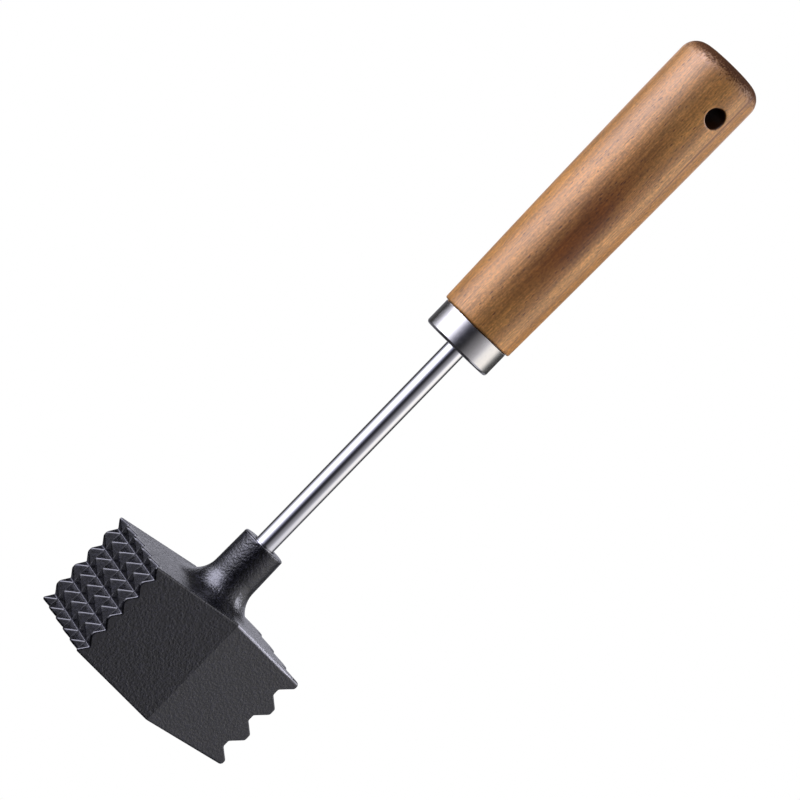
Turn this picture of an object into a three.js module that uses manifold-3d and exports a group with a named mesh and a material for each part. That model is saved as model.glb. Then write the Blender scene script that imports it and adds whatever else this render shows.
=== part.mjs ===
// Meat mallet: a black nylon head with a fine and a coarse toothed face, moulded over a steel
// core, on a steel rod that runs through a steel ferrule into a turned wooden handle.
// Millimetres. +Z runs up the rod to the handle's butt, X runs from the fine face to the coarse
// face, and the origin is the middle of the ridge under the head.
import * as THREE from "three";
import { mergeVertices } from "three/addons/utils/BufferGeometryUtils.js";
import Module from "manifold-3d";

const wasm = await Module();
wasm.setup();

// Clearances
const fitGap = 0.3; // between two pieces that touch on the real mallet
const cutOverrun = 1; // how far a cutter runs past the surface that it opens

// Head moulding
const headLength = 70; // along X, over the tips of the teeth
const headEnd = 35.7; // side of the square that the tips of the teeth fill
const headMiddle = 41.5; // side of the square at the crease halfway
const headSideWall = 7; // nylon beside the core, at the ends' square
const headEndWall = 13; // nylon from the tips of the teeth to the core

// Fine teeth
const fineDepth = 2.75;
const fineTipFlat = 0.6;
const fineValleyFlat = 0.2;

// Coarse teeth
const coarseDepth = 4.7;
const coarseTipFlat = 2.35;
const coarseValleyFlat = 2.3;
const coarseTipInset = 0.9; // from the square's sides to the middle of the outermost tips

// Socket on top of the head
const socketHeight = 21.65; // above the crease on top of the head
const socketBaseDiameter = 16;
const socketTopDiameter = 15.6;
const socketRimRadius = 0.6;
const socketMouthChamfer = 0.4;
const neckFilletRadius = 9.3; // where the socket flares into the head
const neckTuck = 0.02; // the fillet ends this far under the head's skin
const neckRoot = 2; // how deep the flare's foot reaches into the head

// Steel core inside the head
const coreChamfer = 1.5; // on all its edges

// Spring pin through the core and the rod
const pinDiameter = 3.8;
const pinWall = 0.8;
const pinSlot = 0.9;
const pinInset = 1.2; // from the core's skin to each end of the pin

// Rod
const rodDiameter = 7;
const rodBareLength = 86.2; // from the socket's top to the ferrule
const rodFootDepth = 8; // below the middle of the core
const rodEndChamfer = 0.6;
const tangLength = 58; // inside the handle, past its shoulder
const tangGrooveWidth = 1.6;
const tangGrooveDepth = 0.5;
const tangGroovePitch = 11;

// Ferrule
const ferruleDiameter = 25.2;
const ferruleLength = 9.2;
const ferruleWall = 0.9;
const ferruleEdgeRadius = 1;
const ferruleRimRadius = 0.35;

// Handle
const handleLength = 113.4; // from the shoulder on the ferrule to the butt
const handleJointDiameter = 27.1;
const handleButtDiameter = 30;
const handleJointRadius = 0.6;
const handleButtRadius = 6;
const hangHoleDiameter = 7;
const hangHoleInset = 15.8; // from the butt to the hole's axis
const hangHoleChamfer = 0.5;

// Counts, powers and angles
const fineTeethAcross = 6;
const coarseTeethAcross = 4;
const tangGrooveCount = 4;
const swellPower = 1.6; // how early the handle reaches its full width
const drillPointAngle = THREE.MathUtils.degToRad(59); // from the drill's axis to its cutting lip
const neckSides = 40;
const handleSides = 52;
const shaftSides = 32;
const pinSides = 24;
const filletSteps = 6;
const roundSteps = 3;
const buttSteps = 6;
const swellSteps = 12;

// Heights above the ridge under the head
const headAxis = headMiddle / 2;
const socketTop = headMiddle + socketHeight;
const ferruleBottom = socketTop + rodBareLength;
const ferruleTop = ferruleBottom + ferruleLength;
const handleShoulder = ferruleTop + fitGap;
const rodFoot = headAxis - rodFootDepth;
const rodTop = handleShoulder + tangLength;

// A closed geometry as a solid, and a solid as a geometry
function solidOf(geometry) {
  const plain = geometry.clone();
  plain.deleteAttribute("normal");
  plain.deleteAttribute("uv");
  const merged = mergeVertices(plain);
  return new wasm.Manifold(
    new wasm.Mesh({
      numProp: 3,
      vertProperties: new Float32Array(merged.attributes.position.array),
      triVerts: new Uint32Array(merged.index.array),
    }),
  );
}

function geometryOf(solid) {
  const mesh = solid.getMesh();
  const geometry = new THREE.BufferGeometry();
  geometry.setAttribute("position", new THREE.BufferAttribute(mesh.vertProperties, mesh.numProp));
  geometry.setIndex(new THREE.BufferAttribute(mesh.triVerts, 1));
  const loose = geometry.toNonIndexed();
  loose.computeVertexNormals();
  return loose;
}

// Points on an arc in a profile, from one angle to another
function arcPoints(centreX, centreY, radius, from, to, steps) {
  const points = [];
  for (let i = 0; i <= steps; i++) {
    const angle = from + ((to - from) * i) / steps;
    points.push(new THREE.Vector2(centreX + radius * Math.cos(angle), centreY + radius * Math.sin(angle)));
  }
  return points;
}

function at(radius, height) {
  return new THREE.Vector2(radius, height);
}

// A profile of radius and height, from the axis round to the axis, turned about +Z
function turned(profile, sides) {
  return new THREE.LatheGeometry(profile, sides).rotateX(Math.PI / 2);
}

function plainRound(radius, low, high, sides) {
  return turned([at(0, low), at(radius, low), at(radius, high), at(0, high)], sides);
}

// A skin over rings of equal count, with a fan over each end
function lofted(rings) {
  const count = rings[0].length;
  const points = rings.flat();
  const index = [];
  for (let r = 0; r + 1 < rings.length; r++) {
    for (let i = 0; i < count; i++) {
      const a = r * count + i;
      const b = r * count + ((i + 1) % count);
      index.push(a, b, b + count, a, b + count, a + count);
    }
  }
  const lastRing = points.length - count;
  const middleOf = (ring) =>
    ring.reduce((sum, p) => sum.add(p), new THREE.Vector3()).divideScalar(count);
  const firstHub = points.push(middleOf(rings[0])) - 1;
  const lastHub = points.push(middleOf(rings.at(-1))) - 1;
  for (let i = 0; i < count; i++) {
    const next = (i + 1) % count;
    index.push(firstHub, next, i);
    index.push(lastHub, lastRing + i, lastRing + next);
  }
  return new THREE.BufferGeometry().setFromPoints(points).setIndex(index);
}

// Head, built about the point where its length crosses the rod's axis
const headTaper = (headMiddle - headEnd) / headLength; // fall of each side per length from the crease

function squareRing(x, side) {
  const h = side / 2;
  return [
    new THREE.Vector3(x, -h, -h),
    new THREE.Vector3(x, h, -h),
    new THREE.Vector3(x, h, h),
    new THREE.Vector3(x, -h, h),
  ];
}

function headBlock() {
  return lofted([
    squareRing(-headLength / 2, headEnd),
    squareRing(0, headMiddle),
    squareRing(headLength / 2, headEnd),
  ]);
}

// Grooves between teeth that stand in rows across one end; side is -1 for -X and 1 for +X
function toothCutter(side, across, depth, tipFlat, valleyFlat, tipInset) {
  const pitch = (headEnd - 2 * tipInset) / (across - 1);
  const face = (side * headLength) / 2;
  const outside = face + side * cutOverrun;
  const floor = face - side * depth;
  const reach = headMiddle / 2 + cutOverrun;
  const outline = new THREE.Shape();
  outline.moveTo(outside, -reach);
  outline.lineTo(face, -reach);
  for (let i = 0; i + 1 < across; i++) {
    const tip = tipInset - headEnd / 2 + i * pitch;
    outline.lineTo(face, tip + tipFlat / 2);
    outline.lineTo(floor, tip + (pitch - valleyFlat) / 2);
    outline.lineTo(floor, tip + (pitch + valleyFlat) / 2);
    outline.lineTo(face, tip + pitch - tipFlat / 2);
  }
  outline.lineTo(face, reach);
  outline.lineTo(outside, reach);
  outline.closePath();
  const upright = new THREE.ExtrudeGeometry(outline, { depth: 2 * reach, bevelEnabled: false });
  upright.translate(0, 0, -reach);
  const level = upright.clone().rotateX(Math.PI / 2);
  return solidOf(upright).add(solidOf(level));
}

// The flare's rolling-ball fillet follows the fall of the head's top to either side of the crease
function neckFlare() {
  const baseRadius = socketBaseDiameter / 2;
  const topRadius = socketTopDiameter / 2;
  const crest = headMiddle / 2;
  const top = crest + socketHeight;
  const fillet = Math.min(neckFilletRadius, crest - baseRadius, socketHeight - socketRimRadius);
  const ball = baseRadius + fillet;
  const angles = Array.from({ length: neckSides }, (_, i) => (2 * Math.PI * i) / neckSides);
  const fall = (angle) => Math.atan(Math.abs(Math.cos(angle)) * headTaper);
  const ballHeight = (angle) =>
    crest - ball * Math.tan(fall(angle)) + fillet / Math.cos(fall(angle)) - neckTuck;
  const point = (angle, radius, height) =>
    new THREE.Vector3(radius * Math.cos(angle), radius * Math.sin(angle), height);
  const onFillet = (angle, share, sink) => {
    const turn = fall(angle) + (Math.PI / 2 - fall(angle)) * share;
    const height = ballHeight(angle) - fillet * Math.cos(turn) - sink;
    return point(angle, ball - fillet * Math.sin(turn), height);
  };
  const rings = [angles.map((angle) => onFillet(angle, 0, neckRoot))];
  for (let i = 0; i <= filletSteps; i++) {
    rings.push(angles.map((angle) => onFillet(angle, i / filletSteps, 0)));
  }
  const rimRadius = socketRimRadius;
  const rim = arcPoints(topRadius - rimRadius, top - rimRadius, rimRadius, 0, Math.PI / 2, roundSteps);
  for (const corner of rim) {
    rings.push(angles.map((angle) => point(angle, corner.x, corner.y)));
  }
  return lofted(rings);
}

// Square steel bar along X with chamfered edges; grown by the fit gap it is the room in the nylon
function barRing(x, half) {
  const cut = half - coreChamfer;
  const corners = [
    [cut, -half],
    [half, -cut],
    [half, cut],
    [cut, half],
    [-cut, half],
    [-half, cut],
    [-half, -cut],
    [-cut, -half],
  ];
  return corners.map(([y, z]) => new THREE.Vector3(x, y, z));
}

function coreBar(growth) {
  const half = headEnd / 2 - headSideWall + growth;
  const end = headLength / 2 - headEndWall + growth;
  return lofted([
    barRing(-end, half - coreChamfer),
    barRing(-end + coreChamfer, half),
    barRing(end - coreChamfer, half),
    barRing(end, half - coreChamfer),
  ]);
}

function head() {
  const boreRadius = rodDiameter / 2 + fitGap;
  const top = headMiddle / 2 + socketHeight;
  const mouth = turned(
    [
      at(0, top - socketMouthChamfer),
      at(boreRadius, top - socketMouthChamfer),
      at(boreRadius + socketMouthChamfer + cutOverrun, top + cutOverrun),
      at(0, top + cutOverrun),
    ],
    shaftSides,
  );
  return solidOf(headBlock())
    .add(solidOf(neckFlare()))
    .subtract(toothCutter(-1, fineTeethAcross, fineDepth, fineTipFlat, fineValleyFlat, 0))
    .subtract(toothCutter(1, coarseTeethAcross, coarseDepth, coarseTipFlat, coarseValleyFlat, coarseTipInset))
    .subtract(solidOf(coreBar(fitGap)))
    .subtract(solidOf(plainRound(boreRadius, 0, top + cutOverrun, shaftSides)))
    .subtract(solidOf(mouth));
}

// Through hole for the spring pin, along Y at the height of the core's axis
function pinHole() {
  const reach = headMiddle / 2;
  return plainRound(pinDiameter / 2 + fitGap, -reach, reach, pinSides).rotateX(Math.PI / 2);
}

function core() {
  const boreRadius = rodDiameter / 2 + fitGap;
  const bore = plainRound(boreRadius, -rodFootDepth - fitGap, headMiddle / 2, shaftSides);
  return solidOf(coreBar(0)).subtract(solidOf(bore)).subtract(solidOf(pinHole()));
}

// Slotted spring pin along Y, its slot turned towards the rod's foot
function pin() {
  const outer = pinDiameter / 2;
  const inner = outer - pinWall;
  const outerOpen = Math.asin(pinSlot / 2 / outer);
  const innerOpen = Math.asin(pinSlot / 2 / inner);
  const outline = new THREE.Shape([
    ...arcPoints(0, 0, outer, outerOpen, 2 * Math.PI - outerOpen, pinSides),
    ...arcPoints(0, 0, inner, 2 * Math.PI - innerOpen, innerOpen, pinSides),
  ]);
  const length = headEnd - 2 * headSideWall - 2 * pinInset;
  const roll = new THREE.ExtrudeGeometry(outline, { depth: length, bevelEnabled: false });
  return solidOf(roll.translate(0, 0, -length / 2).rotateZ(-Math.PI / 2).rotateX(Math.PI / 2));
}

// Rod, with glue grooves round its tang
function rod() {
  const radius = rodDiameter / 2;
  const profile = [at(0, rodFoot), at(radius - rodEndChamfer, rodFoot), at(radius, rodFoot + rodEndChamfer)];
  const floor = radius - tangGrooveDepth;
  const firstGroove = rodTop - tangGrooveCount * tangGroovePitch;
  for (let i = 0; i < tangGrooveCount; i++) {
    const low = firstGroove + i * tangGroovePitch;
    profile.push(at(radius, low), at(floor, low + tangGrooveDepth));
    profile.push(at(floor, low + tangGrooveWidth - tangGrooveDepth), at(radius, low + tangGrooveWidth));
  }
  profile.push(at(radius, rodTop - rodEndChamfer), at(radius - rodEndChamfer, rodTop), at(0, rodTop));
  return solidOf(turned(profile, shaftSides)).subtract(solidOf(pinHole().translate(0, 0, headAxis)));
}

// Ferrule: a cup with its bottom round the rod and its rim under the handle's shoulder
function ferrule() {
  const outer = ferruleDiameter / 2;
  const inner = outer - ferruleWall;
  const hole = rodDiameter / 2 + fitGap;
  const low = ferruleBottom;
  const high = ferruleTop;
  const edge = ferruleEdgeRadius;
  const rim = Math.min(ferruleRimRadius, ferruleWall / 2);
  const profile = [
    at(hole, low),
    ...arcPoints(outer - edge, low + edge, edge, -Math.PI / 2, 0, roundSteps + 1),
    ...arcPoints(outer - rim, high - rim, rim, 0, Math.PI / 2, roundSteps),
    at(inner, high),
    at(inner, low + ferruleWall),
    at(hole, low + ferruleWall),
    at(hole, low),
  ];
  return solidOf(turned(profile, handleSides));
}

// Handle's radius at a share of the way from its shoulder to the start of the butt's edge
function swellRadius(share) {
  const growth = (handleButtDiameter - handleJointDiameter) / 2;
  return handleButtDiameter / 2 - growth * Math.pow(1 - share, swellPower);
}

function handle() {
  const spigotRadius = ferruleDiameter / 2 - ferruleWall - fitGap;
  const spigotLow = ferruleBottom + ferruleWall + fitGap;
  const shoulder = handleShoulder;
  const butt = shoulder + handleLength;
  const swellEnd = butt - handleButtRadius;
  const corner = handleJointRadius;
  const jointRadius = handleJointDiameter / 2;
  const buttRadius = handleButtDiameter / 2;
  const profile = [
    at(0, spigotLow),
    at(spigotRadius, spigotLow),
    at(spigotRadius, shoulder),
    ...arcPoints(jointRadius - corner, shoulder + corner, corner, -Math.PI / 2, 0, roundSteps),
  ];
  for (let i = 1; i < swellSteps; i++) {
    const share = i / swellSteps;
    profile.push(at(swellRadius(share), shoulder + (swellEnd - shoulder) * share));
  }
  const edge = handleButtRadius;
  profile.push(...arcPoints(buttRadius - edge, swellEnd, edge, 0, Math.PI / 2, buttSteps), at(0, butt));

  // Blind bore for the tang, with the drill's point at its end
  const boreRadius = rodDiameter / 2 + fitGap;
  const boreEnd = rodTop + fitGap;
  const bore = turned(
    [
      at(0, spigotLow - cutOverrun),
      at(boreRadius, spigotLow - cutOverrun),
      at(boreRadius, boreEnd),
      at(0, boreEnd + boreRadius / Math.tan(drillPointAngle)),
    ],
    shaftSides,
  );

  // Hanging hole along Y, countersunk a little at both mouths
  const holeRadius = hangHoleDiameter / 2;
  const mouth = buttRadius - hangHoleChamfer;
  const flare = holeRadius + hangHoleChamfer + cutOverrun;
  const end = buttRadius + cutOverrun;
  const hangHole = turned(
    [
      at(0, -end),
      at(flare, -end),
      at(holeRadius, -mouth),
      at(holeRadius, mouth),
      at(flare, end),
      at(0, end),
    ],
    shaftSides,
  );
  hangHole.rotateX(Math.PI / 2).translate(0, 0, butt - hangHoleInset);
  return solidOf(turned(profile, handleSides)).subtract(solidOf(bore)).subtract(solidOf(hangHole));
}

// Materials
const nylon = new THREE.MeshStandardMaterial({ color: 0x1d1e21, roughness: 0.55, metalness: 0 });
const coreSteel = new THREE.MeshStandardMaterial({ color: 0x6d6f72, roughness: 0.5, metalness: 0.9 });
const polishedSteel = new THREE.MeshStandardMaterial({ color: 0xd4d5d8, roughness: 0.15, metalness: 1 });
const satinSteel = new THREE.MeshStandardMaterial({ color: 0xc6c7ca, roughness: 0.3, metalness: 1 });
const oiledWood = new THREE.MeshStandardMaterial({ color: 0x9a6a40, roughness: 0.5, metalness: 0 });

function piece(name, solid, material) {
  const mesh = new THREE.Mesh(geometryOf(solid), material);
  mesh.name = name;
  return mesh;
}

// Assembly
const headGroup = new THREE.Group();
headGroup.position.z = headAxis;
headGroup.add(
  piece("head", head(), nylon),
  piece("head_core", core(), coreSteel),
  piece("core_pin", pin(), coreSteel),
);

const mallet = new THREE.Group();
mallet.add(
  headGroup,
  piece("shaft_rod", rod(), polishedSteel),
  piece("ferrule", ferrule(), satinSteel),
  piece("handle", handle(), oiledWood),
);

export default mallet;
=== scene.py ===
"""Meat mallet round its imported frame: toothed nylon head, polished rod, satin ferrule and a turned
wooden handle, in a white studio. Sizes below are millimetres; Blender's are metres."""

import math

import bmesh
import bpy
from mathutils import Matrix, Vector


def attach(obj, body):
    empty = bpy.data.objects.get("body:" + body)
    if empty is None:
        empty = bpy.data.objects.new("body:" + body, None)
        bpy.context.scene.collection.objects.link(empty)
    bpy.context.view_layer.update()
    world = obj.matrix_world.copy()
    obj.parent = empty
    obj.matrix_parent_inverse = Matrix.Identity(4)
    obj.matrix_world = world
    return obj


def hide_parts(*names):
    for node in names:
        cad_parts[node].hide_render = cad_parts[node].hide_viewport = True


MM = 0.001
FIT_GAP = 0.3
HAIR = 0.001

# Head
HEAD_LENGTH = 70
HEAD_END = 35.7
HEAD_MIDDLE = 41.5
HEAD_SIDE_WALL = 7
HEAD_END_WALL = 13
HEAD_TAPER = (HEAD_MIDDLE - HEAD_END) / HEAD_LENGTH
HEAD_AXIS = HEAD_MIDDLE / 2
CORE_CHAMFER = 1.5
CREASE_EDGE_RADIUS = 0.6
EDGE_STEPS = 6

# Nylon's skin: where the grain fades before the teeth, and the lines where highlights are painted pale
GRAIN_FADE = (31.0, 32.5)
PAINTED_HIGHLIGHT_SHARE = 0.9
VALLEY_HIGHLIGHT_SPAN = (0.1, 0.3)
# Span, height, spread and middle of the painted highlight on the coarse half's upper edges
EDGE_HIGHLIGHT_SPAN = (HEAD_MIDDLE - 0.95, HEAD_MIDDLE - 0.7)
EDGE_HIGHLIGHT_HEIGHT = HEAD_END / 2 + 1.5
EDGE_HIGHLIGHT_SPREAD = 1.6
EDGE_HIGHLIGHT_MIDDLE = 15.5

# Teeth: how many stand across a face, their sizes and the mesh steps from one to the next
FINE_TEETH = {
    "Teeth Across": 6,
    "Tip Inset": 0,
    "Depth": 2.75,
    "Tip Flat": 0.5,
    "Valley Flat": 0.25,
    "Ridge Round": 0.55,
    "Tip Round": 1.4,
    "Valley Round": 0.2,
    "Steps": 32,
    "Border Steps": 3,
}
COARSE_TEETH = {
    "Teeth Across": 4,
    "Tip Inset": 0.9,
    "Depth": 4.7,
    "Tip Flat": 2.35,
    "Valley Flat": 2.3,
    "Ridge Round": 0.7,
    "Tip Round": 0.9,
    "Valley Round": 0.6,
    "Steps": 40,
    "Border Steps": 1,
}
SPREAD_POWER = 8

# Socket
SOCKET_HEIGHT = 21.65
SOCKET_BASE_DIAMETER = 16
SOCKET_TOP_DIAMETER = 15.6
SOCKET_RIM_RADIUS = 0.6
SOCKET_MOUTH_CHAMFER = 0.4
NECK_FILLET_RADIUS = 9.3
NECK_SIDES = 96
FILLET_STEPS = 20
RIM_STEPS = 4

# Rod
ROD_DIAMETER = 7
ROD_BARE_LENGTH = 86.2
ROD_FOOT_DEPTH = 8
ROD_END_CHAMFER = 0.6
TANG_LENGTH = 58
TANG_GROOVES = 4
TANG_GROOVE_WIDTH = 1.6
TANG_GROOVE_DEPTH = 0.5
TANG_GROOVE_PITCH = 11
PIN_HOLE_DIAMETER = 4.4
ROD_SIDES = 96

# Ferrule
FERRULE_DIAMETER = 25.2
FERRULE_LENGTH = 9.2
FERRULE_WALL = 0.9
FERRULE_EDGE_RADIUS = 1
FERRULE_RIM_RADIUS = 0.35
FERRULE_TUCK = 0.25
FERRULE_EDGE_STEPS = 8
FERRULE_RIM_STEPS = 5
FERRULE_SIDES = 160

# Handle
HANDLE_LENGTH = 113.4
HANDLE_JOINT_DIAMETER = 27.1
HANDLE_BUTT_DIAMETER = 30
HANDLE_JOINT_RADIUS = 0.6
HANDLE_BUTT_RADIUS = 6
JOINT_STEPS = 5
SWELL_POWER = 1.6
SWELL_STEPS = 90
BUTT_STEPS = 16
HANDLE_SIDES = 160
DRILL_POINT_ANGLE = math.radians(59)
HANG_HOLE_DIAMETER = 7
HANG_HOLE_INSET = 15.8
HANG_HOLE_EDGE = 0.5
HANG_HOLE_SIDES = 64
HANG_HOLE_STEPS = 6
HANG_HOLE_OVERRUN = 0.03

# Wood: the tree's pith, the dark heart, which is partly darker wood and partly painted shade along
# the front, with the heights where it is faint and full and its share where it is faint, and a growth
# line that comes up along the handle
PITH = (38, -30, 0)
HEART_AND_SHADE_LINE = (-3.7, -10.8, 0)
HEART_AND_SHADE_FADES = ((166.0, 194.0, 0.12), (246.0, 212.0, 0.08))
GROWTH_LINE_SIDE = (0.83, -0.56, 0)
GROWTH_LINE_REACH = 12.6
GROWTH_LINE_WIDTH = 0.28
GROWTH_LINE_RISE = (205.0, 240.0)

# Heights above the ridge under the head
SOCKET_TOP = HEAD_MIDDLE + SOCKET_HEIGHT
FERRULE_BOTTOM = SOCKET_TOP + ROD_BARE_LENGTH
FERRULE_TOP = FERRULE_BOTTOM + FERRULE_LENGTH
SHOULDER = FERRULE_TOP + FIT_GAP
ROD_FOOT = HEAD_AXIS - ROD_FOOT_DEPTH
ROD_TOP = SHOULDER + TANG_LENGTH
BUTT = SHOULDER + HANDLE_LENGTH
SWELL_END = BUTT - HANDLE_BUTT_RADIUS
HANG_HOLE_HEIGHT = BUTT - HANG_HOLE_INSET

BORE_RADIUS = ROD_DIAMETER / 2 + FIT_GAP
SHARP_ANGLE = math.radians(38)
CREASE_ANGLE = math.radians(8)
PANEL_CORNERS = 12

# Kinds of node that come often
MATH = "ShaderNodeMath"
VECTOR_MATH = "ShaderNodeVectorMath"
MAP_RANGE = "ShaderNodeMapRange"
MIX = "ShaderNodeMix"
NOISE = "ShaderNodeTexNoise"

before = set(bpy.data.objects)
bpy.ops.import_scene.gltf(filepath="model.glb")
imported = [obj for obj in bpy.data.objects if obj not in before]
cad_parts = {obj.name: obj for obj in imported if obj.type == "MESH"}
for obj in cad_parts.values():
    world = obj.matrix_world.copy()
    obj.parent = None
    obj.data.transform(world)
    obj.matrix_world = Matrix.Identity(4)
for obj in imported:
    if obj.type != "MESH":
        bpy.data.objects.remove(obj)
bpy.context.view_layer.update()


def colour(code):
    """An sRGB hex colour as linear red, green, blue and alpha."""
    parts = [int(code[i : i + 2], 16) / 255 for i in (0, 2, 4)]
    return [p / 12.92 if p <= 0.04045 else ((p + 0.055) / 1.055) ** 2.4 for p in parts] + [1.0]


def feed(tree, node, values):
    """Fills a node's inputs with values, or links them to a socket or a node's first used output."""
    for name, value in values.items():
        if isinstance(value, bpy.types.Node):
            value = next(socket for socket in value.outputs if socket.enabled)
        if isinstance(value, bpy.types.NodeSocket):
            tree.links.new(value, node.inputs[name])
        else:
            node.inputs[name].default_value = value


def add(tree, kind, inputs=None, stops=None, **settings):
    """Adds a node with its settings, its inputs and, on a colour ramp, its stops."""
    node = tree.nodes.new(kind)
    for name, value in settings.items():
        setattr(node, name, value)
    feed(tree, node, inputs or {})
    if stops:
        elements = node.color_ramp.elements
        while len(elements) < len(stops):
            elements.new(1)
        for element, (place, tint) in zip(elements, stops):
            element.position = place
            element.color = tint
    return node


def placed(name, data):
    """A new object in the scene."""
    made = bpy.data.objects.new(name, data)
    bpy.context.scene.collection.objects.link(made)
    return made


def mesh_from(name, points, faces=(), material=None):
    """A mesh from points in metres, with its material."""
    mesh = bpy.data.meshes.new(name)
    mesh.from_pydata(points, [], faces)
    if material:
        mesh.materials.append(material)
    return mesh


def modified(maker):
    """The plain mesh that an object's modifier makes of it."""
    graph = bpy.context.evaluated_depsgraph_get()
    return bpy.data.meshes.new_from_object(maker.evaluated_get(graph))


def shape_tree(name, sockets):
    """An empty Geometry Nodes tree with named inputs; gives the tree and the inputs' sockets."""
    tree = bpy.data.node_groups.new(name, "GeometryNodeTree")
    tree.interface.new_socket("Geometry", in_out="INPUT", socket_type="NodeSocketGeometry")
    for label, kind in sockets.items():
        tree.interface.new_socket(label, in_out="INPUT", socket_type=kind)
    tree.interface.new_socket("Geometry", in_out="OUTPUT", socket_type="NodeSocketGeometry")
    return tree, add(tree, "NodeGroupInput").outputs


def close_tree(tree, mesh, material):
    """Ends a tree in real faces with their material."""
    real = add(tree, "GeometryNodeRealizeInstances", {"Geometry": mesh})
    dressed = add(tree, "GeometryNodeSetMaterial", {"Geometry": real, "Material": material})
    add(tree, "NodeGroupOutput", {"Geometry": dressed})


def shaped(name, start, tree, values):
    """The plain mesh that a tree makes from a starting mesh and values for its named inputs."""
    maker = placed(name, start)
    modifier = maker.modifiers.new("shape", "NODES")
    modifier.node_group = tree
    for socket in tree.interface.items_tree:
        if socket.in_out == "INPUT" and socket.name in values:
            modifier[socket.identifier] = values[socket.name]
    mesh = modified(maker)
    bpy.data.objects.remove(maker)
    mesh.name = name
    return mesh


def turning_tree():
    """Turns a profile of points, radius in X and height in Z, once round the rod's axis."""
    sockets = {"Sides": "NodeSocketInt", "Material": "NodeSocketMaterial"}
    tree, given = shape_tree("turned on the lathe", sockets)
    profile = given["Geometry"]
    rows = add(tree, "GeometryNodeAttributeDomainSize", {"Geometry": profile}, component="MESH")
    columns = add(tree, MATH, {0: given["Sides"], 1: 1}, operation="ADD")
    sheet = add(tree, "GeometryNodeMeshGrid", {"Vertices X": columns, "Vertices Y": rows})
    index = add(tree, "GeometryNodeInputIndex")
    row = add(tree, MATH, {0: index, 1: rows}, operation="MODULO")
    share = add(tree, MATH, {0: index, 1: rows}, operation="DIVIDE")
    column = add(tree, MATH, {0: share}, operation="FLOOR")
    step = add(tree, MATH, {0: math.tau, 1: given["Sides"]}, operation="DIVIDE")
    turn = add(tree, MATH, {0: column, 1: step}, operation="MULTIPLY")
    sample = add(
        tree,
        "GeometryNodeSampleIndex",
        {"Geometry": profile, "Value": add(tree, "GeometryNodeInputPosition"), "Index": row},
        data_type="FLOAT_VECTOR",
    )
    swung = add(tree, "ShaderNodeVectorRotate", {"Vector": sample, "Angle": turn}, rotation_type="Z_AXIS")
    skin = add(tree, "GeometryNodeSetPosition", {"Geometry": sheet, "Position": swung})
    closed = add(tree, "GeometryNodeMergeByDistance", {"Geometry": skin, "Distance": HAIR * MM})
    close_tree(tree, closed, given["Material"])
    return tree


def tooth_tree():
    """A square field of pyramid teeth, tips at height zero and valleys at +Z, with every row's
    ridges, tips and valleys rounded. It stops a few mesh steps short of the outermost tips."""
    sizes = ["Pitch", "Depth", "Tip Flat", "Valley Flat", "Ridge Round", "Tip Round", "Valley Round"]
    sockets = {label: "NodeSocketFloat" for label in sizes}
    sockets |= {label: "NodeSocketInt" for label in ("Teeth Across", "Steps", "Border Steps")}
    sockets["Material"] = "NodeSocketMaterial"
    tree, given = shape_tree("field of teeth", sockets)
    pitch = given["Pitch"]

    # Flat sheet with a mesh line on every tip and valley
    gaps = add(tree, MATH, {0: given["Teeth Across"], 1: 1}, operation="SUBTRACT")
    width = add(tree, MATH, {0: pitch, 1: gaps}, operation="MULTIPLY")
    step = add(tree, MATH, {0: pitch, 1: given["Steps"]}, operation="DIVIDE")
    lines = add(tree, MATH, {0: given["Steps"], 1: gaps, 2: 1}, operation="MULTIPLY_ADD")
    points = add(tree, MATH, {0: given["Border Steps"], 1: -2, 2: lines}, operation="MULTIPLY_ADD")
    spans = add(tree, MATH, {0: points, 1: 1}, operation="SUBTRACT")
    inner = add(tree, MATH, {0: spans, 1: step}, operation="MULTIPLY")
    sheet = add(
        tree,
        "GeometryNodeMeshGrid",
        {"Size X": inner, "Size Y": inner, "Vertices X": points, "Vertices Y": points},
    )

    # Distance from the nearest tip along both axes; the longer one decides the height
    half = add(tree, MATH, {0: width, 1: 0.5}, operation="MULTIPLY")
    half_pitch = add(tree, MATH, {0: pitch, 1: 0.5}, operation="MULTIPLY")
    xyz = add(tree, "ShaderNodeSeparateXYZ", {0: add(tree, "GeometryNodeInputPosition")})
    from_tip = []
    for across in (xyz.outputs[0], xyz.outputs[1]):
        run = add(tree, MATH, {0: across, 1: half}, operation="ADD")
        from_tip.append(add(tree, MATH, {0: run, 1: half_pitch}, operation="PINGPONG"))
    down_slope = add(
        tree,
        MATH,
        {0: from_tip[0], 1: from_tip[1], 2: given["Ridge Round"]},
        operation="SMOOTH_MAX",
    )

    # Straight flanks between the flats of the tips and those of the valleys
    flats = add(tree, MATH, {0: given["Tip Flat"], 1: given["Valley Flat"]}, operation="ADD")
    slopes = add(tree, MATH, {0: pitch, 1: flats}, operation="SUBTRACT")
    both_sides = add(tree, MATH, {0: down_slope, 1: 2}, operation="MULTIPLY")
    past_tip = add(tree, MATH, {0: both_sides, 1: given["Tip Flat"]}, operation="SUBTRACT")
    share = add(tree, MATH, {0: past_tip, 1: slopes}, operation="DIVIDE")
    fall = add(tree, MATH, {0: share, 1: given["Depth"]}, operation="MULTIPLY")
    for limit, rounding, kind in (
        (given["Depth"], given["Valley Round"], "SMOOTH_MIN"),
        (0, given["Tip Round"], "SMOOTH_MAX"),
    ):
        fall = add(tree, MATH, {0: fall, 1: limit, 2: rounding}, operation=kind)
    moved = add(tree, "ShaderNodeCombineXYZ", {0: xyz.outputs[0], 1: xyz.outputs[1], 2: fall})
    field = add(tree, "GeometryNodeSetPosition", {"Geometry": sheet, "Position": moved})
    split = add(tree, "GeometryNodeTriangulate", {"Mesh": field}, quad_method="LONGEST_DIAGONAL")
    close_tree(tree, split, given["Material"])
    return tree


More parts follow.
